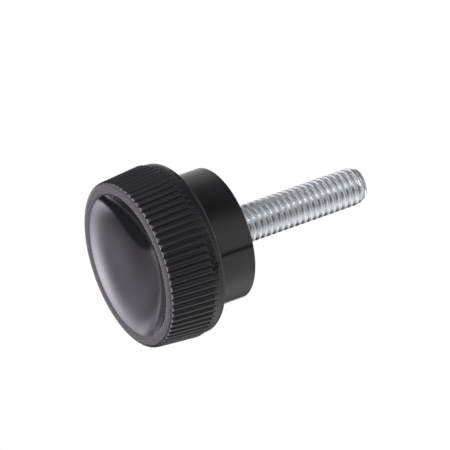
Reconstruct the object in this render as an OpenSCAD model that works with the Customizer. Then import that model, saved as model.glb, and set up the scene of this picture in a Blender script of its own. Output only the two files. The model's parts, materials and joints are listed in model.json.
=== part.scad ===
// Knurled knob with a moulded-in threaded stud.
//
// Sizes are in millimetres. The knob stands on the ring round its finger
// dish: the flat of that ring lies at z = 0, and the stud points up the
// Z axis. The knob is one moulding: a ridged rim with the dish in its face,
// a plain lip behind the ridges, and a hub that ends in the seat face.
// The stud is a plain shaft at the width of its thread crests. Its hidden
// end is a neck with a hexagonal collar, which can't turn in the moulding.

/* [Head] */
// Width over the ridges at their back ends
head_d = 18.56; // [18.4:0.02:22]
// Height of the head, from the face ring to the back of the lip
head_h = 6.55; // [5:0.05:8]
// Lean of the rim towards the face, in degrees
rim_draft = 4.8; // [2:0.1:6]
// Rounding where the face ring turns into the rim
face_edge_r = 0.45; // [0.3:0.05:0.8]
// Chamfer on the back ends of the ridges
ridge_end_c = 0.12; // [0.05:0.01:0.15]

/* [Dish] */
// Width of the finger dish at the level of the face ring
dish_d = 15.3; // [12:0.1:15.8]
// Depth of the finger dish
dish_depth = 3.2; // [1:0.1:3.6]
// Rounding between the dish and the face ring
dish_edge_r = 0.1; // [0.05:0.05:0.5]

/* [Knurl] */
// Number of ridges
ridges = 72; // [60:1:76]
// Depth of the grooves between the ridges
groove_depth = 0.26; // [0.2:0.01:0.3]
// Width of the floor of a groove
groove_floor = 0.06; // [0.04:0.01:0.1]
// Width of the flat top of a ridge
ridge_top = 0.16; // [0.1:0.01:0.2]

/* [Lip] */
// Width of the plain lip behind the ridges
lip_d = 18.26; // [18.1:0.02:18.3]
// Length of the lip
lip_w = 1.68; // [1.2:0.02:2.2]
// Rounding of the back edge of the lip
lip_edge_r = 0.9; // [0.2:0.05:1]

/* [Hub] */
// Width of the hub
hub_d = 14.1; // [10:0.05:15]
// Length of the hub behind the lip
hub_h = 4.5; // [3:0.1:8]
// Fillet at the root of the hub
hub_root_r = 0.3; // [0.1:0.05:0.5]
// Rounding of the free edge of the hub
hub_edge_r = 0.1; // [0.05:0.05:0.6]
// Gap round the thread at the mouth of the countersink in the seat face
sink_gap = 0.3; // [0.1:0.05:0.8]

/* [Stud] */
// Thread size, over the crests
stud_d = 4; // [3.6:0.1:5]
// Length of the stud from the seat face to its tip
stud_len = 17; // [6:0.5:40]
// Width of the flat end at the tip
tip_d = 3.2; // [1.5:0.1:3.5]
// Length of the chamfer at the tip
tip_len = 0.9; // [0.4:0.1:2]

/* [Anchor] */
// Thickness of the moulding between the dish and the stud's hidden end
anchor_floor = 1.4; // [0.8:0.1:3]
// Width of the plain neck between the thread and the collar
neck_d = 3.4; // [2.4:0.1:3.5]
// Width of the hexagonal collar across its corners
collar_d = 7; // [6.2:0.1:9]
// Length of the hexagonal collar
collar_h = 2; // [1:0.1:3]

/* [Hidden] */
$fn = 120;
past = 1;                         // how far a cutter reaches past the stock
seat_z = head_h + hub_h;          // seat face, at the free end of the hub
rim_h = head_h - lip_w;           // back ends of the ridges
rim_top_r = head_d / 2;
rim_base_r = rim_top_r - rim_h * tan(rim_draft);
lip_r = lip_d / 2;
hub_r = hub_d / 2;
dish_r = (pow(dish_d / 2, 2) + pow(dish_depth, 2)) / (2 * dish_depth);
dish_z = dish_depth - dish_r;     // centre of the sphere that forms the dish
anchor_depth = seat_z - dish_depth - anchor_floor;
collar_sides = 6;

function polar(r, a) = [r * cos(a), r * sin(a)];

// Waste outside a rounded edge: the rounding has its centre at c and
// touches its two faces in the directions a and b.
module edge_waste(c, r, a, b) {
  reach = 2 * r / cos((b - a) / 2);
  difference() {
    polygon([c, c + polar(2 * r, a), c + polar(reach, (a + b) / 2), c + polar(2 * r, b)]);
    translate(c) circle(r);
  }
}

// Half section of the rim and its face, from the ring to the ridge ends.
module rim_section() {
  edge_c = [rim_base_r - face_edge_r * (1 - sin(rim_draft)) / cos(rim_draft), face_edge_r];
  dish_rise = dish_edge_r - dish_z;
  dish_c = [sqrt(pow(dish_r + dish_edge_r, 2) - pow(dish_rise, 2)), dish_edge_r];
  difference() {
    polygon([
      [0, 0],
      [rim_base_r, 0],
      [rim_top_r - ridge_end_c * tan(rim_draft), rim_h - ridge_end_c],
      [rim_top_r - ridge_end_c, rim_h],
      [0, rim_h]
    ]);
    translate([0, dish_z]) circle(dish_r);
    edge_waste(dish_c, dish_edge_r, atan2(-dish_rise, -dish_c.x), -90);
    edge_waste(edge_c, face_edge_r, -90, -rim_draft);
  }
}

// Half section of the lip and the hub.
module back_section() {
  difference() {
    union() {
      translate([0, rim_h]) square([lip_r, lip_w]);
      translate([0, head_h]) square([hub_r, hub_h]);
      difference() {
        translate([hub_r, head_h]) square(hub_root_r);
        translate([hub_r, head_h] + [1, 1] * hub_root_r) circle(hub_root_r);
      }
    }
    edge_waste([lip_r, head_h] - [1, 1] * lip_edge_r, lip_edge_r, 0, 90);
    edge_waste([hub_r, seat_z] - [1, 1] * hub_edge_r, hub_edge_r, 0, 90);
  }
}

// Section of one groove, with x out of the rim and the ridge tops at x = 0.
// Each flank is an arc about a point below the ridge beside it.
module groove_section() {
  half_pitch = (rim_top_r + rim_base_r) / 2 * sin(180 / ridges);
  mouth = half_pitch - ridge_top / 2;
  floor_run = half_pitch - groove_floor / 2;
  flank_x = -(pow(groove_depth, 2) + pow(floor_run, 2) - pow(ridge_top / 2, 2)) / (2 * groove_depth);
  flank_r = norm([flank_x, ridge_top / 2]);
  difference() {
    translate([-groove_depth, -mouth]) square([groove_depth + past, 2 * mouth]);
    for (side = [-1, 1]) translate([flank_x, side * half_pitch]) circle(flank_r);
  }
}

// One groove, straight along the slant of the rim and open at both ends.
module groove() {
  translate([rim_base_r, 0, 0]) rotate([0, rim_draft, 0]) translate([0, 0, -past])
    linear_extrude(rim_h + 2 * past) groove_section();
}

// Hidden end of the stud, which also shapes its pocket in the hub. The neck
// ends at the given height above the seat face.
module anchor(neck_over = 0) {
  translate([0, 0, seat_z - anchor_depth]) {
    cylinder(h = collar_h, d = collar_d, $fn = collar_sides);
    cylinder(h = anchor_depth + neck_over, d = neck_d);
  }
}

// Countersink in the seat face, which keeps moulding flash off the thread.
module countersink() {
  sink = stud_d / 2 + sink_gap - neck_d / 2;
  reach = sink + past;
  translate([0, 0, seat_z - sink]) cylinder(h = reach, d1 = neck_d, d2 = neck_d + 2 * reach);
}

module knob() {
  color("#1c1c1e") difference() {
    union() {
      difference() {
        rotate_extrude() rim_section();
        for (i = [0 : ridges - 1]) rotate(i * 360 / ridges) groove();
      }
      rotate_extrude() back_section();
    }
    anchor(past);
    countersink();
  }
}

module threaded_stud() {
  thread_h = stud_len - tip_len;
  color("#c9ccd0") union() {
    anchor();
    translate([0, 0, seat_z]) {
      cylinder(h = thread_h, d = stud_d);
      translate([0, 0, thread_h]) cylinder(h = tip_len, d1 = stud_d, d2 = tip_d);
    }
  }
}

knob();
threaded_stud();
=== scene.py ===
"""Looks of a knurled knob with a moulded-in threaded stud.

The knob stands on the ring round its finger dish, with the stud up, in the
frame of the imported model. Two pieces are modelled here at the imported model's
sizes: the moulding, with finer facets, and the stud, which gets its thread.
Sizes are in millimetres until a piece is finished, and then in metres.
"""

from __future__ import annotations

import json
import logging
import math
from dataclasses import dataclass
from enum import Enum
from typing import Any, Callable

import bmesh
import bpy
from mathutils import Matrix, Vector

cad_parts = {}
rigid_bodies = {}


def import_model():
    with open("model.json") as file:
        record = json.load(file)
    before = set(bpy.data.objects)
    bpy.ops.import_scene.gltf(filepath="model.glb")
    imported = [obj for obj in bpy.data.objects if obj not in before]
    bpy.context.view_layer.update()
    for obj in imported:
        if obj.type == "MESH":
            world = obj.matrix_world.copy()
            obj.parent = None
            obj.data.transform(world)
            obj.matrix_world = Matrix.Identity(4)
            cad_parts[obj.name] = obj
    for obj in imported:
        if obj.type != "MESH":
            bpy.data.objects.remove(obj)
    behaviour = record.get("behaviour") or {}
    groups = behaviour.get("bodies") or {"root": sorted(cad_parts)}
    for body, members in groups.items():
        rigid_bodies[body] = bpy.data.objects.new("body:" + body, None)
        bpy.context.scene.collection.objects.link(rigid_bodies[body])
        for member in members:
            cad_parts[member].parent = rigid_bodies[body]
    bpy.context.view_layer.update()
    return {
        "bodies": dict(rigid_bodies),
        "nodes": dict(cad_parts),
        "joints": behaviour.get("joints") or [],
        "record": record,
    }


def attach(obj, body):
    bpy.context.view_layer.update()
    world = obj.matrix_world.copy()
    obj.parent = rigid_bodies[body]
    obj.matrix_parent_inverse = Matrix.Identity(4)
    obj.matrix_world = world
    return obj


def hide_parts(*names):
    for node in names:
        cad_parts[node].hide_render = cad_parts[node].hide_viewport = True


BODY = "root"

# Metres in a millimetre, and the reach of merges and cuts in millimetres.
MM = 0.001
MERGE = 0.0005
CUT_SNAP = 0.0001

# Turns in degrees, and the sides of the stud's collar.
QUARTER = 90.0
WHOLE = 360.0
HEX_SIDES = 6

# Middle of a noise value, and the places of the Mix node's colour sockets.
NOISE_MIDDLE = 0.5
MIX_SHARE = 0
MIX_LOW = 6
MIX_HIGH = 7
MIX_RESULT = 2

log = logging.getLogger("knurled_knob")


class LightRay(Enum):
    """Outputs of the Light Path node that the stage asks for."""

    CAMERA = "Is Camera Ray"
    GLOSSY = "Is Glossy Ray"
    TRANSMISSION = "Is Transmission Ray"


class Side(Enum):
    """Which side of a cutting plane stays."""

    ABOVE = "above"
    BELOW = "below"


# ---------------------------------------------------------------- shader kit


class Sock:
    """A shader socket that takes part in arithmetic."""

    def __init__(self, tree: NodeTree, socket: bpy.types.NodeSocket) -> None:
        """Wraps one output socket of a tree."""
        self.tree = tree
        self.socket = socket

    def __add__(self, other: Sock | float) -> Sock:
        """Sum of two values."""
        return self.tree.math("ADD", self, other)

    def __radd__(self, other: float) -> Sock:
        """Sum with a plain number on the left."""
        return self.tree.math("ADD", other, self)

    def __sub__(self, other: Sock | float) -> Sock:
        """Difference of two values."""
        return self.tree.math("SUBTRACT", self, other)

    def __rsub__(self, other: float) -> Sock:
        """A plain number less this value."""
        return self.tree.math("SUBTRACT", other, self)

    def __mul__(self, other: Sock | float) -> Sock:
        """Product of two values."""
        return self.tree.math("MULTIPLY", self, other)

    def __rmul__(self, other: float) -> Sock:
        """Product with a plain number on the left."""
        return self.tree.math("MULTIPLY", other, self)

    def __truediv__(self, other: Sock | float) -> Sock:
        """Quotient of two values."""
        return self.tree.math("DIVIDE", self, other)

    def __rtruediv__(self, other: float) -> Sock:
        """A plain number over this value."""
        return self.tree.math("DIVIDE", other, self)

    def __neg__(self) -> Sock:
        """This value with its sign turned."""
        return self.tree.math("MULTIPLY", self, -1.0)

    def smooth(self, low: float, high: float) -> Sock:
        """Rises smoothly from 0 to 1 as this value goes from low to high.

        Args:
            low: the value that gives 0.
            high: the value that gives 1.

        Returns:
            The smoothed value.
        """
        settings = {"interpolation_type": "SMOOTHSTEP"}
        inputs = {"Value": self, "From Min": low, "From Max": high}
        return self.tree.node("ShaderNodeMapRange", settings, inputs, "Result")


class NodeTree:
    """Node tree of one material or of the world, built up by expressions."""

    def __init__(self, owner: bpy.types.Material | bpy.types.World) -> None:
        """Empties the owner's tree and keeps it.

        Args:
            owner: the material or world that gets the nodes.
        """
        owner.use_nodes = True
        self.nodes = owner.node_tree.nodes
        self.links = owner.node_tree.links
        self.nodes.clear()

    def node(
        self,
        kind: str,
        settings: dict[str, Any] | None = None,
        inputs: dict[str | int, Any] | None = None,
        output: str | int = 0,
    ) -> Sock:
        """Adds any node.

        Args:
            kind: the node's type, such as ShaderNodeBump.
            settings: the node's own properties, which are set first.
            inputs: values or links of its sockets, by name or place.
            output: the output to return, by name or place.

        Returns:
            The chosen output, or the node's first input where it has none.
        """
        node = self.nodes.new(kind)
        for name, value in (settings or {}).items():
            setattr(node, name, value)
        for name, value in (inputs or {}).items():
            if isinstance(value, Sock):
                self.links.new(value.socket, node.inputs[name])
            else:
                node.inputs[name].default_value = value
        if not node.outputs:
            return Sock(self, node.inputs[0])
        return Sock(self, node.outputs[output])

    def math(self, operation: str, *values: Sock | float) -> Sock:
        """One Math node on one, two or three values."""
        return self.node("ShaderNodeMath", {"operation": operation}, dict(enumerate(values)))

    def ray(self, kind: LightRay) -> Sock:
        """1 on rays of one kind and 0 on the rest."""
        return self.node("ShaderNodeLightPath", output=kind.value)

    def vector(self, operation: str, *values: Sock | Vector, output: str = "Vector") -> Sock:
        """One Vector Math node on links and fixed vectors."""
        inputs = dict(enumerate(values))
        return self.node("ShaderNodeVectorMath", {"operation": operation}, inputs, output)

    def length(self, value: Sock) -> Sock:
        """Length of a vector."""
        return self.vector("LENGTH", value, output="Value")

    def dot(self, value: Sock, fixed: Vector) -> Sock:
        """Dot product of a link with a fixed vector."""
        return self.vector("DOT_PRODUCT", value, fixed, output="Value")

    def place(self) -> Sock:
        """The piece's own coordinates, in metres."""
        return self.node("ShaderNodeTexCoord", output="Object")

    def height(self) -> Sock:
        """Height over the foot of the knob, in millimetres."""
        return self.node("ShaderNodeSeparateXYZ", inputs={"Vector": self.place()}, output="Z") / MM

    def radius(self) -> Sock:
        """Distance from the knob's axis, in millimetres."""
        return self.length(self.vector("MULTIPLY", self.place(), Vector((1.0, 1.0, 0.0)))) / MM

    def noise(self, size_mm: float, detail: float = 2.0) -> Sock:
        """Cloudy noise from 0 to 1, fixed to the piece, with some octaves of detail."""
        values = {"Vector": self.place(), "Scale": 1.0 / (size_mm * MM), "Detail": detail}
        return self.node("ShaderNodeTexNoise", inputs=values)

    def mix(self, share: Sock | float, low: Any, high: Any) -> Sock:
        """Blends two colours, with share 0 for the low one and 1 for the high one."""
        inputs = {MIX_SHARE: share, MIX_LOW: low, MIX_HIGH: high}
        return self.node("ShaderNodeMix", {"data_type": "RGBA"}, inputs, MIX_RESULT)


def paint(red: float, green: float, blue: float) -> tuple[float, float, float, float]:
    """A colour as a socket takes it."""
    return (red, green, blue, 1.0)


WHITE = paint(1.0, 1.0, 1.0)


# ------------------------------------------------------------------ finishes


@dataclass(frozen=True)
class BlackMoulding:
    """Glossy black moulded plastic, with the faint waviness of a mould.

    The face ring and the ridged rim are duller than the rest, and the grooves
    between the ridges get a greyer colour as painted fill light that lifts
    their shade. Lengths are in millimetres.
    """

    name: str = "gloss_black_moulding"
    colour: tuple[float, float, float, float] = paint(0.008, 0.008, 0.009)
    # Painted fill light: a greyer colour deep in the grooves that lifts their shade.
    groove_fill_light_colour: tuple[float, float, float, float] = paint(0.016, 0.016, 0.017)
    ior: float = 1.6
    roughness: float = 0.10
    ridge_roughness: float = 0.32
    ring_roughness: float = 0.35
    roughness_spread: float = 0.05
    blotch: float = 1.8
    skin: float = 0.55
    skin_height: float = 0.0006
    ring_low: float = 0.04
    ring_high: float = 0.12
    ridge_root_r: float = 8.4
    ridge_blend: float = 0.08
    # Depths below the ridge tops, in millimetres, over which the grooves' painted fill light fades in.
    groove_fill_low: float = 0.06
    groove_fill_high: float = 0.20

    def material(self, foot_r: float, rim_h: float, draft_deg: float) -> bpy.types.Material:
        """Makes the material for a knob's moulding.

        Args:
            foot_r: radius over the ridges at the face ring.
            rim_h: height of the back ends of the ridges.
            draft_deg: lean of the rim in degrees.

        Returns:
            The finished material.
        """
        made = bpy.data.materials.new(self.name)
        tree = NodeTree(made)
        height = tree.height()
        radius = tree.radius()
        ring = 1 - height.smooth(self.ring_low, self.ring_high)
        ridged = radius.smooth(self.ridge_root_r - self.ridge_blend, self.ridge_root_r)
        ridged = ridged * (1 - height.smooth(rim_h, rim_h + self.ridge_blend))
        crest = foot_r + math.tan(math.radians(draft_deg)) * height
        # How far a point lies down in a groove; this sets the painted fill light.
        groove = (crest - radius).smooth(self.groove_fill_low, self.groove_fill_high)
        level = self.roughness + (self.ridge_roughness - self.roughness) * ridged
        level = level + (self.ring_roughness - level) * ring
        bump = {"Height": tree.noise(self.skin), "Distance": self.skin_height * MM}
        surface = {
            # Painted fill light: deep in the grooves the colour turns greyer to lift their shade.
            "Base Color": tree.mix(ridged * groove, self.colour, self.groove_fill_light_colour),
            "Roughness": level + self.roughness_spread * (tree.noise(self.blotch) - NOISE_MIDDLE),
            "IOR": self.ior,
            "Normal": tree.node("ShaderNodeBump", inputs=bump),
        }
        shader = tree.node("ShaderNodeBsdfPrincipled", inputs=surface)
        tree.node("ShaderNodeOutputMaterial", inputs={"Surface": shader})
        return made


@dataclass(frozen=True)
class ZincPlate:
    """Bright zinc plate on a rolled steel thread, with painted shade at the thread's root.

    Lengths are in millimetres.
    """

    name: str = "zinc_plated_steel"
    colour: tuple[float, float, float, float] = paint(0.95, 0.98, 0.98)
    # Painted shade: the thread's roots get a darker colour than its crests.
    root_shade_colour: tuple[float, float, float, float] = paint(0.86, 0.90, 0.91)
    root_r: float = 1.62
    crest_r: float = 1.96
    roughness: float = 0.29
    roughness_spread: float = 0.18
    grain: float = 0.30
    grain_detail: float = 3.0
    grain_height: float = 0.010

    def material(self) -> bpy.types.Material:
        """Makes the material.

        Returns:
            The finished material.
        """
        made = bpy.data.materials.new(self.name)
        tree = NodeTree(made)
        raised = tree.radius().smooth(self.root_r, self.crest_r)
        grain = tree.noise(self.grain, self.grain_detail)
        bump = {"Height": grain, "Distance": self.grain_height * MM}
        surface = {
            # Painted shade: towards the thread's root the colour turns greyer.
            "Base Color": tree.mix(raised, self.root_shade_colour, self.colour),
            "Metallic": 1.0,
            "Roughness": self.roughness + self.roughness_spread * (grain - NOISE_MIDDLE),
            "Normal": tree.node("ShaderNodeBump", inputs=bump),
        }
        shader = tree.node("ShaderNodeBsdfPrincipled", inputs=surface)
        tree.node("ShaderNodeOutputMaterial", inputs={"Surface": shader})
        return made


# ------------------------------------------------------------- modelling kit


class Section:
    """A half section, drawn edge by edge in the XZ plane and then turned."""

    def __init__(self, x: float, z: float) -> None:
        """Starts the section at one point.

        Args:
            x: distance of the point from the axis.
            z: height of the point.
        """
        self.bm = bmesh.new()
        self.x = x
        self.z = z
        self.end = bmesh.ops.create_vert(self.bm, co=(x, 0.0, z))["vert"][0]

    def line(self, x: float, z: float, steps: int = 1) -> None:
        """Draws a straight line to a point.

        Args:
            x: distance of the point from the axis.
            z: height of the point.
            steps: number of edges along the line.
        """
        move = Vector((x - self.x, 0.0, z - self.z)) / steps
        for _ in range(steps):
            made = bmesh.ops.extrude_vert_indiv(self.bm, verts=[self.end])
            self.end = made["verts"][0]
            bmesh.ops.translate(self.bm, verts=[self.end], vec=move)
        self.x = x
        self.z = z

    def arc(self, x: float, z: float, turn: float, steps: int) -> None:
        """Swings the end of the section round a centre.

        Args:
            x: distance of the centre from the axis.
            z: height of the centre.
            turn: angle in degrees, from +X towards +Z where positive.
            steps: number of edges along the arc.
        """
        made = bmesh.ops.spin(
            self.bm,
            geom=[self.end],
            cent=(x, 0.0, z),
            axis=(0.0, -1.0, 0.0),
            angle=math.radians(turn),
            steps=steps,
            use_merge=False,
        )
        self.end = [item for item in made["geom_last"] if isinstance(item, bmesh.types.BMVert)][0]
        self.x = self.end.co.x
        self.z = self.end.co.z

    def turned(self, turn: float, steps: int, rise: float = 0.0) -> bmesh.types.BMesh:
        """Turns the section round the Z axis.

        Args:
            turn: angle of the turn in degrees.
            steps: number of steps in the turn.
            rise: how far the section climbs in the turn, for a thread.

        Returns:
            The turned surface, with its doubles merged.
        """
        bmesh.ops.spin(
            self.bm,
            geom=self.bm.verts[:] + self.bm.edges[:],
            cent=(0.0, 0.0, 0.0),
            axis=(0.0, 0.0, 1.0),
            dvec=(0.0, 0.0, rise / steps),
            angle=math.radians(turn),
            steps=steps,
            use_merge=False,
        )
        bmesh.ops.remove_doubles(self.bm, verts=self.bm.verts, dist=MERGE)
        return self.bm


def repeat(bm: bmesh.types.BMesh, copies: int) -> None:
    """Repeats one sector of a round shape until it closes on itself, and merges its seams.

    Args:
        bm: the sector, which grows into the whole round.
        copies: number of sectors in the whole round.
    """
    bmesh.ops.spin(
        bm,
        geom=bm.verts[:] + bm.edges[:] + bm.faces[:],
        cent=(0.0, 0.0, 0.0),
        axis=(0.0, 0.0, 1.0),
        angle=math.tau * (copies - 1) / copies,
        steps=copies - 1,
        use_duplicate=True,
    )
    bmesh.ops.remove_doubles(bm, verts=bm.verts, dist=MERGE)


def finished(bm: bmesh.types.BMesh, name: str, sharp_deg: float) -> bpy.types.Object:
    """Turns a closed shape in millimetres into a piece in metres.

    Args:
        bm: the shape, which is used up.
        name: the name of the piece.
        sharp_deg: edges that bend by more than this stay sharp.

    Returns:
        The piece, at the origin.
    """
    bmesh.ops.recalc_face_normals(bm, faces=bm.faces)
    bmesh.ops.scale(bm, vec=(MM, MM, MM), verts=bm.verts)
    mesh = bpy.data.meshes.new(name)
    bm.to_mesh(mesh)
    bm.free()
    mesh.shade_smooth()
    mesh.set_sharp_from_angle(angle=math.radians(sharp_deg))
    piece = bpy.data.objects.new(name, mesh)
    bpy.context.scene.collection.objects.link(piece)
    return piece


@dataclass(frozen=True)
class Anchor:
    """Hidden end of the stud: a neck with a hexagonal collar."""

    depth: float = 6.45
    neck_r: float = 1.7
    collar_r: float = 3.5
    collar_h: float = 2.0

    def hexagon(self, co: Vector) -> Vector:
        """Moves a point out to the side of the collar, in its own direction.

        Args:
            co: the point, at height zero.

        Returns:
            The point on the hexagon.
        """
        sector = math.tau / HEX_SIDES
        off_middle = math.atan2(co.y, co.x) % sector - sector / 2
        radius = self.collar_r * math.cos(sector / 2) / math.cos(off_middle)
        return co * (radius / math.hypot(co.x, co.y))

    def neck(self, co: Vector) -> Vector:
        """Moves a point in or out to the neck."""
        return co * (self.neck_r / math.hypot(co.x, co.y))

    def extruded(
        self, bm: bmesh.types.BMesh, loop: list[bmesh.types.BMEdge], seat_z: float, sink: float
    ) -> None:
        """Grows the neck and the collar from an open loop at the seat face, and closes them.

        Args:
            bm: the shape that ends in the loop.
            loop: the loop's edges, at the height of the seat face.
            seat_z: height of the seat face.
            sink: how far below the seat face the neck starts.
        """
        shoulder_z = seat_z - self.depth + self.collar_h
        rings: list[tuple[Callable[[Vector], Vector], float]] = [
            (self.neck, seat_z - sink),
            (self.neck, shoulder_z),
            (self.hexagon, shoulder_z),
            (self.hexagon, seat_z - self.depth),
        ]
        edges = loop
        for shape, height in rings:
            made = bmesh.ops.extrude_edge_only(bm, edges=edges)["geom"]
            edges = [item for item in made if isinstance(item, bmesh.types.BMEdge)]
            for vert in (item for item in made if isinstance(item, bmesh.types.BMVert)):
                flat = shape(Vector((vert.co.x, vert.co.y, 0.0)))
                vert.co = (flat.x, flat.y, height)
        bmesh.ops.holes_fill(bm, edges=edges, sides=0)


# -------------------------------------------------------------------- pieces


@dataclass(frozen=True)
class Facets:
    """Numbers of facets along the moulding's half section."""

    dish: int = 20
    dish_edge: int = 6
    ring: int = 2
    face_edge: int = 18
    ridge: int = 3
    ridge_end: int = 3
    lip: int = 2
    lip_edge: int = 8
    hub_round: int = 5


@dataclass
class Moulding:
    """The knob's one moulding: ridged rim with the finger dish, lip and hub.

    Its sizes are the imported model's. A ridge and its groove share one sector,
    which has the given number of columns of facets.
    """

    head_r: float = 9.28
    head_h: float = 6.55
    draft_deg: float = 4.8
    face_edge_r: float = 0.45
    ridge_end_r: float = 0.12
    dish_mouth_r: float = 7.65
    dish_depth: float = 3.2
    dish_edge_r: float = 0.1
    ridges: int = 72
    columns_per_ridge: int = 12
    groove_depth: float = 0.26
    groove_floor: float = 0.06
    ridge_top: float = 0.16
    lip_r: float = 9.13
    lip_w: float = 1.68
    lip_edge_r: float = 0.9
    hub_r: float = 7.05
    hub_h: float = 4.5
    hub_root_r: float = 0.3
    hub_edge_r: float = 0.1
    sink: float = 0.6
    sharp_deg: float = 50.0
    facets: Facets = Facets()
    anchor: Anchor = Anchor()
    finish: BlackMoulding = BlackMoulding()

    @property
    def rim_h(self) -> float:
        """Height of the back ends of the ridges."""
        return self.head_h - self.lip_w

    @property
    def seat_z(self) -> float:
        """Height of the seat face."""
        return self.head_h + self.hub_h

    def crest_r(self, z: float) -> float:
        """Radius over the ridges at a height."""
        return self.head_r - (self.rim_h - z) * math.tan(math.radians(self.draft_deg))

    def section(self) -> Section:
        """Draws the half section over the ridge tops.

        Returns:
            The section, from the middle of the dish to the countersink.
        """
        facets = self.facets
        draft = math.radians(self.draft_deg)
        dish_r = (self.dish_mouth_r**2 + self.dish_depth**2) / (2 * self.dish_depth)
        dish_z = self.dish_depth - dish_r
        round_z = self.dish_edge_r
        round_x = math.sqrt((dish_r + self.dish_edge_r) ** 2 - (round_z - dish_z) ** 2)
        slope = math.degrees(math.asin(round_x / (dish_r + self.dish_edge_r)))
        edge_x = self.crest_r(0.0) - self.face_edge_r * (1 - math.sin(draft)) / math.cos(draft)
        end_z = self.rim_h - self.ridge_end_r
        end_x = self.crest_r(end_z) - self.ridge_end_r
        lip_z = self.head_h - self.lip_edge_r
        root_x = self.hub_r + self.hub_root_r
        top_z = self.seat_z - self.hub_edge_r
        edge = Section(0.0, self.dish_depth)
        edge.arc(0.0, dish_z, -slope, facets.dish)
        edge.arc(round_x, round_z, slope, facets.dish_edge)
        edge.line(edge_x, 0.0, facets.ring)
        edge.arc(edge_x, self.face_edge_r, QUARTER - self.draft_deg, facets.face_edge)
        edge.line(self.crest_r(end_z), end_z, facets.ridge)
        edge.arc(end_x, end_z, QUARTER, facets.ridge_end)
        edge.line(self.lip_r, self.rim_h)
        edge.line(self.lip_r, lip_z, facets.lip)
        edge.arc(self.lip_r - self.lip_edge_r, lip_z, QUARTER, facets.lip_edge)
        edge.line(root_x, self.head_h)
        edge.arc(root_x, self.head_h + self.hub_root_r, -QUARTER, facets.hub_round)
        edge.line(self.hub_r, top_z)
        edge.arc(self.hub_r - self.hub_edge_r, top_z, QUARTER, facets.hub_round)
        edge.line(self.anchor.neck_r + self.sink, self.seat_z)
        return edge

    def knurled(self, co: Vector) -> Vector:
        """Moves a point of the plain turned shape on to the ridges and grooves.

        Args:
            co: the point.

        Returns:
            Where the point goes. Off the rim it only turns a little.
        """
        radius = math.hypot(co.x, co.y)
        if radius == 0.0:
            return co
        pitch = math.tau / self.ridges
        half = (self.head_r + self.crest_r(0.0)) / 2 * math.sin(pitch / 2)
        floor_run = half - self.groove_floor / 2
        top = self.ridge_top / 2
        sunk = (self.groove_depth**2 + floor_run**2 - top**2) / (2 * self.groove_depth)
        flank_r = math.hypot(sunk, top)
        widest = math.atan2(floor_run, sunk - self.groove_depth)
        off_ridge = math.atan2(co.y, co.x) / pitch - 0.5
        share = round(off_ridge * self.columns_per_ridge) / (self.columns_per_ridge / 2 - 1)
        if abs(share) > 1.0:
            across = math.copysign(half, share)
            depth = self.groove_depth
        else:
            across = flank_r * math.sin(share * widest)
            depth = max(0.0, sunk - flank_r * math.cos(share * widest))
        angle = (0.5 + 0.5 * across / half) * pitch
        if co.z < self.rim_h + MERGE:
            radius = min(radius, max(self.crest_r(co.z) - depth, self.dish_mouth_r))
        return Vector((radius * math.cos(angle), radius * math.sin(angle), co.z))

    def build(self) -> bpy.types.Object:
        """Builds the moulding and dresses it.

        Returns:
            The finished piece.
        """
        bm = self.section().turned(WHOLE / self.ridges, self.columns_per_ridge)
        for vert in bm.verts:
            vert.co = self.knurled(vert.co)
        repeat(bm, self.ridges)
        mouth = [edge for edge in bm.edges if edge.is_boundary]
        self.anchor.extruded(bm, mouth, self.seat_z, self.sink)
        piece = finished(bm, "moulded_knob", self.sharp_deg)
        piece.data.materials.append(self.finish.material(self.crest_r(0.0), self.rim_h, self.draft_deg))
        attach(piece, BODY)
        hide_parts("knob")
        return piece


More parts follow.
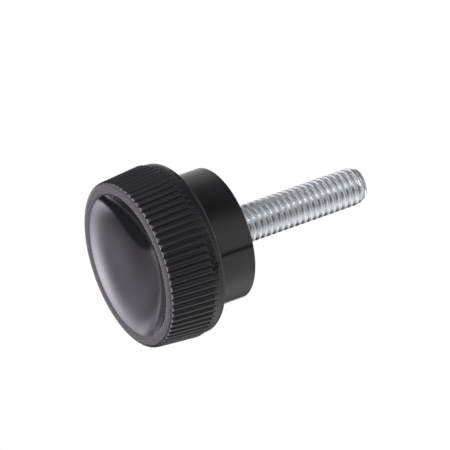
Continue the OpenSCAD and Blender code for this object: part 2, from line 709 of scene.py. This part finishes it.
@dataclass
class Stud:
    """The threaded stud, with its hidden anchor.

    The crown is how far the middle of a crest stands over its edges. The thread
    starts some hidden turns below the seat face and runs on past the tip, where
    the waste keeps some width until it is cut away.
    """

    crest_r: float = 1.985
    root_r: float = 1.56
    pitch: float = 0.7
    crest_flat: float = 0.28
    root_flat: float = 0.08
    crest_round: float = 0.035
    crest_crown: float = 0.0105
    length: float = 17.0
    tip_r: float = 1.6
    tip_len: float = 0.9
    waste_r: float = 0.85
    lead_in: float = 0.03
    hidden_turns: int = 2
    flank_facets: int = 2
    columns: int = 72
    sharp_deg: float = 55.0
    anchor: Anchor = Anchor()
    finish: ZincPlate = ZincPlate()

    def section(self, low: float, turns: int) -> Section:
        """Draws the half section of the thread.

        Args:
            low: height at which it starts.
            turns: number of thread turns.

        Returns:
            The section, from root to root.
        """
        flank = (self.pitch - self.crest_flat - self.root_flat) / 2
        shoulder_r = self.crest_r - self.crest_round
        drop = flank * self.crest_round / (self.crest_r - self.root_r)
        edge = Section(self.root_r, low)
        for turn in range(turns):
            start = low + turn * self.pitch
            foot = start + self.root_flat / 2
            crest = foot + flank
            fall = crest + self.crest_flat
            edge.line(self.root_r, foot)
            edge.line(shoulder_r, crest - drop, self.flank_facets)
            edge.line(self.crest_r - self.crest_crown, crest)
            edge.line(self.crest_r, crest + self.crest_flat / 2)
            edge.line(self.crest_r - self.crest_crown, fall)
            edge.line(shoulder_r, fall + drop)
            edge.line(self.root_r, start + self.pitch - self.root_flat / 2, self.flank_facets)
            edge.line(self.root_r, start + self.pitch)
        return edge

    def pointed(self, co: Vector, tip_z: float) -> Vector:
        """Moves a point in to the chamfer at the tip, where it lies outside it.

        Args:
            co: the point.
            tip_z: height of the flat end.

        Returns:
            Where the point goes.
        """
        lean = (self.crest_r - self.tip_r) / self.tip_len
        limit = max(self.tip_r + (tip_z - co.z) * lean, self.waste_r)
        share = min(1.0, limit / math.hypot(co.x, co.y))
        return Vector((co.x * share, co.y * share, co.z))

    def cut(self, bm: bmesh.types.BMesh, z: float, stays: Side) -> None:
        """Cuts the thread off square and takes the waste away.

        Args:
            bm: the thread.
            z: height of the cut.
            stays: the side that is kept.
        """
        bmesh.ops.bisect_plane(
            bm,
            geom=bm.verts[:] + bm.edges[:] + bm.faces[:],
            dist=CUT_SNAP,
            plane_co=(0.0, 0.0, z),
            plane_no=(0.0, 0.0, 1.0),
            clear_outer=stays is Side.BELOW,
            clear_inner=stays is Side.ABOVE,
        )

    def build(self, seat_z: float) -> bpy.types.Object:
        """Builds the stud and dresses it.

        Args:
            seat_z: height of the seat face.

        Returns:
            The finished piece.
        """
        tip_z = seat_z + self.length
        turns = math.ceil(self.length / self.pitch) + self.hidden_turns + 1
        low = seat_z - self.hidden_turns * self.pitch + self.lead_in
        bm = self.section(low, turns).turned(WHOLE, self.columns, self.pitch)
        for vert in bm.verts:
            vert.co = self.pointed(vert.co, tip_z)
        self.cut(bm, seat_z, Side.ABOVE)
        self.cut(bm, tip_z, Side.BELOW)
        bmesh.ops.remove_doubles(bm, verts=bm.verts, dist=MERGE)
        rims = [edge for edge in bm.edges if edge.is_boundary]
        end = [edge for edge in rims if edge.verts[0].co.z > seat_z + self.pitch]
        foot = [edge for edge in rims if edge.verts[0].co.z < seat_z + self.pitch]
        bmesh.ops.holes_fill(bm, edges=end, sides=0)
        self.anchor.extruded(bm, foot, seat_z, 0.0)
        piece = finished(bm, "zinc_stud", self.sharp_deg)
        piece.data.materials.append(self.finish.material())
        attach(piece, BODY)
        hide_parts("threaded_stud")
        return piece


# --------------------------------------------------------------------- stage


@dataclass(frozen=True)
class Viewpoint:
    """Long lens that looks up at the finger dish from below and in front.

    The base is where the knob's foot lies from the camera, in millimetres.
    """

    lens: float = 480.0
    tilt_deg: float = 64.452
    roll_deg: float = -19.434
    turn_deg: float = 1.6
    base_right: float = -9.969
    base_down: float = 4.151
    base_away: float = 611.936
    near: float = 0.05
    far: float = 20.0

    def axes(self) -> tuple[Vector, Vector, Vector]:
        """Works out the camera's directions in the knob's frame.

        Returns:
            The directions to the right, down and away from the camera.
        """
        tilt = math.radians(self.tilt_deg)
        roll = math.radians(self.roll_deg)
        up_stud = Vector((0.0, -math.cos(tilt), math.sin(tilt)))
        aside = Vector((1.0, 0.0, 0.0))
        right = math.cos(roll) * up_stud - math.sin(roll) * aside
        down = math.sin(roll) * up_stud + math.cos(roll) * aside
        away = Vector((0.0, math.sin(tilt), math.cos(tilt)))
        turn = Matrix.Rotation(math.radians(self.turn_deg), 3, "Z")
        return turn @ right, turn @ down, turn @ away

    def build(self) -> None:
        """Places the camera and makes it the scene's."""
        right, down, away = self.axes()
        place = -(self.base_right * right + self.base_down * down + self.base_away * away) * MM
        data = bpy.data.cameras.new("viewpoint")
        data.lens = self.lens
        data.clip_start = self.near
        data.clip_end = self.far
        camera = bpy.data.objects.new("viewpoint", data)
        frame = Matrix((right, -down, -away)).transposed()
        camera.matrix_world = Matrix.Translation(place) @ frame.to_4x4()
        bpy.context.scene.collection.objects.link(camera)
        bpy.context.scene.camera = camera


@dataclass(frozen=True)
class Aim:
    """A direction from the knob to its surroundings."""

    azimuth_deg: float
    elevation_deg: float

    def vector(self) -> Vector:
        """Works out the direction as a vector.

        Returns:
            The unit vector.
        """
        turn = math.radians(self.azimuth_deg)
        rise = math.radians(self.elevation_deg)
        return Vector((math.cos(rise) * math.cos(turn), math.cos(rise) * math.sin(turn), math.sin(rise)))

    def across(self, turn_deg: float) -> Vector:
        """A direction square to this one.

        Args:
            turn_deg: its turn from straight up towards -azimuth.

        Returns:
            The square direction.
        """
        turn = math.radians(self.azimuth_deg)
        level = Vector((-math.sin(turn), math.cos(turn), 0.0))
        upright = self.vector().cross(level)
        lean = math.radians(turn_deg)
        return math.cos(lean) * upright - math.sin(lean) * level


@dataclass(frozen=True)
class SoftLight:
    """A soft light in the surroundings, round or squeezed to a strip.

    It fades over its spread, and across its thickness where that is smaller.
    """

    aim: Aim
    spread_deg: float
    level: float
    thickness_deg: float = 90.0
    turn_deg: float = 0.0

    def glow(self, tree: NodeTree, view: Sock) -> Sock:
        """Works out how bright the light is in a direction.

        Args:
            tree: the world's nodes.
            view: the direction looked in.

        Returns:
            The brightness.
        """
        off = (1 - tree.dot(view, self.aim.vector())) / math.radians(self.spread_deg) ** 2
        aside = tree.dot(view, self.aim.across(self.turn_deg)) / math.radians(self.thickness_deg)
        return self.level * tree.math("EXPONENT", -(off + aside * aside / 2))


@dataclass(frozen=True)
class RingLight:
    """A ring of soft light in the surroundings, brighter on one side.

    Where its lean is below zero, the ring is brighter at its foot.
    """

    aim: Aim
    radius_deg: float
    width_deg: float
    level: float
    lean: float

    def glow(self, tree: NodeTree, view: Sock) -> Sock:
        """Works out how bright the ring is in a direction.

        Args:
            tree: the world's nodes.
            view: the direction looked in.

        Returns:
            The brightness.
        """
        radius = math.radians(self.radius_deg)
        middle = tree.dot(view, self.aim.vector()) - math.cos(radius)
        off = middle / (math.sin(radius) * math.radians(self.width_deg))
        side = tree.dot(view, self.aim.across(0.0)) * self.lean
        return self.level * tree.math("EXPONENT", side - off * off / 2)


@dataclass(frozen=True)
class Card:
    """An oval card in the surroundings, with a soft edge.

    The edge is a share of the card's size, and the level is the share of the
    light behind the card that it lets through.
    """

    aim: Aim
    half_width_deg: float
    half_height_deg: float
    edge: float
    level: float = 1.0
    ahead_fade: float = 0.1

    def cover(self, tree: NodeTree, view: Sock) -> Sock:
        """Works out how far the card covers a direction.

        Args:
            tree: the world's nodes.
            view: the direction looked in.

        Returns:
            0 clear of the card and 1 behind it.
        """
        high = tree.dot(view, self.aim.across(0.0)) / math.sin(math.radians(self.half_height_deg))
        wide = tree.dot(view, self.aim.across(QUARTER)) / math.sin(math.radians(self.half_width_deg))
        reach = tree.math("SQRT", high * high + wide * wide)
        ahead = tree.dot(view, self.aim.vector()).smooth(0.0, self.ahead_fade)
        return ahead * (1 - reach.smooth(1 - self.edge, 1 + self.edge))


@dataclass
class Studio:
    """Soft lights all round, dark cards, a white backdrop and a pale floor.

    The ring light draws the bright crescent in the finger dish, and the strips
    shape the rim, the hub and the stud. The cards keep parts of the dish and
    the hub dark. The floor's sizes are in metres.
    """

    overhead: SoftLight = SoftLight(Aim(0, 78), spread_deg=28, level=0.5)
    front_fill: SoftLight = SoftLight(Aim(-104, -12), spread_deg=9, level=5.4)
    low_side: SoftLight = SoftLight(Aim(20, 15), spread_deg=20, level=0.6)
    dish_ring: RingLight = RingLight(Aim(92, -60), radius_deg=51.5, width_deg=5.2, level=4.8, lean=-1.0)
    dish_spark: SoftLight = SoftLight(Aim(92, -14), spread_deg=10, level=1.5, thickness_deg=7, turn_deg=40)
    under_strip: SoftLight = SoftLight(
        Aim(24, -80), spread_deg=48, level=1.6, thickness_deg=19, turn_deg=-73
    )
    side_strip: SoftLight = SoftLight(
        Aim(180, -41), spread_deg=42, level=1.1, thickness_deg=14, turn_deg=23
    )
    back_strip: SoftLight = SoftLight(Aim(123, 31), spread_deg=27, level=0.65, thickness_deg=5, turn_deg=8)
    hub_strip: SoftLight = SoftLight(Aim(-62, 38), spread_deg=34, level=0.6, thickness_deg=7)
    dish_card: Card = Card(Aim(71, -18), half_width_deg=16, half_height_deg=29, edge=0.1, level=0.0)
    back_card: Card = Card(Aim(121, -12), half_width_deg=11, half_height_deg=11, edge=1.0, level=0.3)
    hub_card: Card = Card(Aim(-49, 27), half_width_deg=3.2, half_height_deg=14, edge=0.6, level=0.1)
    backdrop: Card = Card(Aim(90, 25), half_width_deg=11, half_height_deg=11, edge=0.6)
    low_tint: tuple[float, float, float, float] = paint(0.98, 0.93, 1.04)
    high_tint: tuple[float, float, float, float] = paint(0.99, 0.98, 1.0)
    tint_turn: float = 0.35
    floor_r: float = 1.5
    floor_steps: int = 64
    floor_fade_r: float = 0.3
    floor_lift: float = 0.48
    floor_colour: tuple[float, float, float, float] = paint(0.92, 0.92, 0.92)

    def room(self, tree: NodeTree, view: Sock) -> Sock:
        """Adds up the lights behind their cards.

        Args:
            tree: the world's nodes.
            view: the direction looked in.

        Returns:
            The brightness of the surroundings.
        """
        rounds = (self.overhead, self.front_fill, self.low_side, self.dish_spark)
        strips = (self.under_strip, self.side_strip, self.back_strip, self.hub_strip)
        total = self.dish_ring.glow(tree, view)
        for light in (*rounds, *strips):
            total = total + light.glow(tree, view)
        for card in (self.dish_card, self.back_card, self.hub_card):
            total = total * (1 - (1 - card.level) * card.cover(tree, view))
        return total

    def world(self) -> None:
        """Makes the surroundings, white where the camera looks straight at them."""
        world = bpy.data.worlds.new("light_room")
        bpy.context.scene.world = world
        tree = NodeTree(world)
        view = tree.node("ShaderNodeTexCoord", output="Generated")
        mirrored = tree.ray(LightRay.GLOSSY) + tree.ray(LightRay.TRANSMISSION)
        white = tree.ray(LightRay.CAMERA) + mirrored * self.backdrop.cover(tree, view)
        height = tree.dot(view, Vector((0.0, 0.0, 1.0))).smooth(-self.tint_turn, self.tint_turn)
        tint = tree.mix(height, self.low_tint, self.high_tint)
        shown = {
            "Color": tree.mix(white, tint, WHITE),
            "Strength": white + (1 - white) * self.room(tree, view),
        }
        light = tree.node("ShaderNodeBackground", inputs=shown)
        tree.node("ShaderNodeOutputWorld", inputs={"Surface": light})

    def floor_finish(self) -> bpy.types.Material:
        """Makes the floor's matt material, which the camera sees from above only.

        Returns:
            The finished material, clear from below and far from the knob.
        """
        made = bpy.data.materials.new("pale_floor")
        tree = NodeTree(made)
        far = tree.length(tree.place()).smooth(self.floor_fade_r, self.floor_r)
        front = 1 - tree.node("ShaderNodeNewGeometry", output="Backfacing")
        seen = tree.ray(LightRay.CAMERA) * front * (1 - far)
        matt = tree.node("ShaderNodeBsdfDiffuse", inputs={"Color": self.floor_colour})
        lift = tree.node("ShaderNodeEmission", inputs={"Strength": self.floor_lift})
        lit = tree.node("ShaderNodeAddShader", inputs={0: matt, 1: lift})
        clear = tree.node("ShaderNodeBsdfTransparent")
        shader = tree.node("ShaderNodeMixShader", inputs={"Fac": seen, 1: clear, 2: lit})
        tree.node("ShaderNodeOutputMaterial", inputs={"Surface": shader})
        return made

    def floor(self) -> None:
        """Lays the floor, whose sizes are in metres."""
        bm = bmesh.new()
        bmesh.ops.create_circle(bm, cap_ends=True, radius=self.floor_r, segments=self.floor_steps)
        mesh = bpy.data.meshes.new("floor")
        bm.to_mesh(mesh)
        bm.free()
        mesh.materials.append(self.floor_finish())
        floor = bpy.data.objects.new("floor", mesh)
        bpy.context.scene.collection.objects.link(floor)

    def build(self) -> None:
        """Sets up everything that isn't the knob."""
        self.world()
        self.floor()


def main() -> None:
    """Builds the scene in order and reports each piece."""
    logging.basicConfig(level=logging.INFO, format="%(name)s: %(message)s")
    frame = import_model()
    log.info("frame with nodes %s", ", ".join(sorted(frame["nodes"])))
    Viewpoint().build()
    moulding = Moulding()
    for piece in (moulding.build(), Stud().build(moulding.seat_z)):
        log.info("%s: %d faces", piece.name, len(piece.data.polygons))
    Studio().build()
    bpy.context.scene.view_settings.view_transform = "Standard"


if __name__ == "__main__":
    main()
